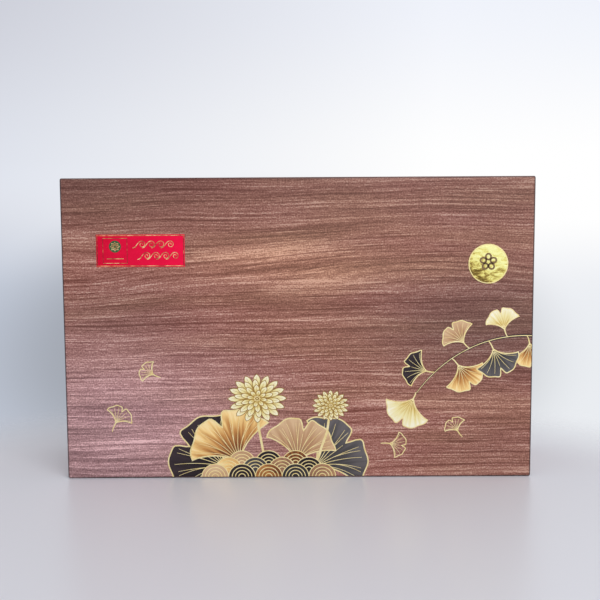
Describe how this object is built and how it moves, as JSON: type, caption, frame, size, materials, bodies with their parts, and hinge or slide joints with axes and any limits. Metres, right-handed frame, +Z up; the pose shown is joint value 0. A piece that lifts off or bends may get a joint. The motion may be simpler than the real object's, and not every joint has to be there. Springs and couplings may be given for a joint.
{
  "type": "gift box",
  "caption": "Rectangular wood-grain gift box standing on its long edge, with a hinged front cover, a magnetic closing flap, padded compartments and a side drawer.",
  "frame": {"origin": "on the floor under the middle of the closed box, which stands on its long edge", "axes": "+X along the box's width, to the right when facing the cover; -Y is the cover's side; +Z is up"},
  "size_m": [0.38, 0.1103, 0.245],
  "materials": {
    "wood_grain_wrap": "wood-grain print on textured pearl paper, satin",
    "grey_board": "raw grey board",
    "plum_lining": "plain uncoated lining paper",
    "tray_paper": "board covered in fine-grained matt paper",
    "satin": "satin cloth over foam",
    "velvet": "flocked sheet",
    "red_label": "smooth red card with a foil border",
    "gold_foil": "metallised gold foil on paper",
    "magnet_nickel": "nickel plated",
    "keeper_steel": "zinc plated",
    "brass": "polished brass"
  },
  "bodies": {
    "case": {"back_wrap": "wood_grain_wrap", "back_core": "grey_board", "back_lining": "plum_lining", "back_fold": "wood_grain_wrap", "spine_wrap": "wood_grain_wrap", "spine_core": "grey_board", "spine_lining": "plum_lining", "cover_fold": "wood_grain_wrap", "tray_top_wall": "tray_paper", "tray_bottom_wall": "tray_paper", "tray_left_wall": "tray_paper", "tray_right_wall": "tray_paper", "tier_board": "tray_paper", "partition_across": "tray_paper", "partition_upright": "tray_paper", "pad_upper_left": "satin", "pad_upper_right": "satin", "pad_lower_left": "satin", "pad_lower_right": "satin", "tray_keepers": "keeper_steel"},
    "cover": {"cover_wrap": "wood_grain_wrap", "cover_core": "grey_board", "cover_lining": "plum_lining", "flap_fold": "wood_grain_wrap", "cover_label": "red_label", "cover_seal": "gold_foil"},
    "flap": {"flap_wrap": "wood_grain_wrap", "flap_core": "grey_board", "flap_lining": "plum_lining", "flap_magnets": "magnet_nickel"},
    "drawer": {"drawer_floor": "tray_paper", "drawer_front": "wood_grain_wrap", "drawer_far_end": "tray_paper", "drawer_upper_side": "tray_paper", "drawer_lower_side": "tray_paper", "drawer_divider_1": "tray_paper", "drawer_divider_2": "tray_paper", "drawer_lining": "velvet", "drawer_eyelet": "brass"}
  },
  "joints": [
    {"name": "cover_hinge", "type": "hinge", "parent": "case", "child": "cover", "pos_m": [0, -0.05325, 0.24325], "axis": [-1, 0, 0], "range_deg": [0, 180]},
    {"name": "flap_hinge", "type": "hinge", "parent": "cover", "child": "flap", "pos_m": [0, -0.05325, 0.00175], "axis": [-1, 0, 0], "range_deg": [0, 180]},
    {"name": "drawer_slide", "type": "slide", "parent": "case", "child": "drawer", "axis": [1, 0, 0], "range_m": [0, 0.295]}
  ]
}
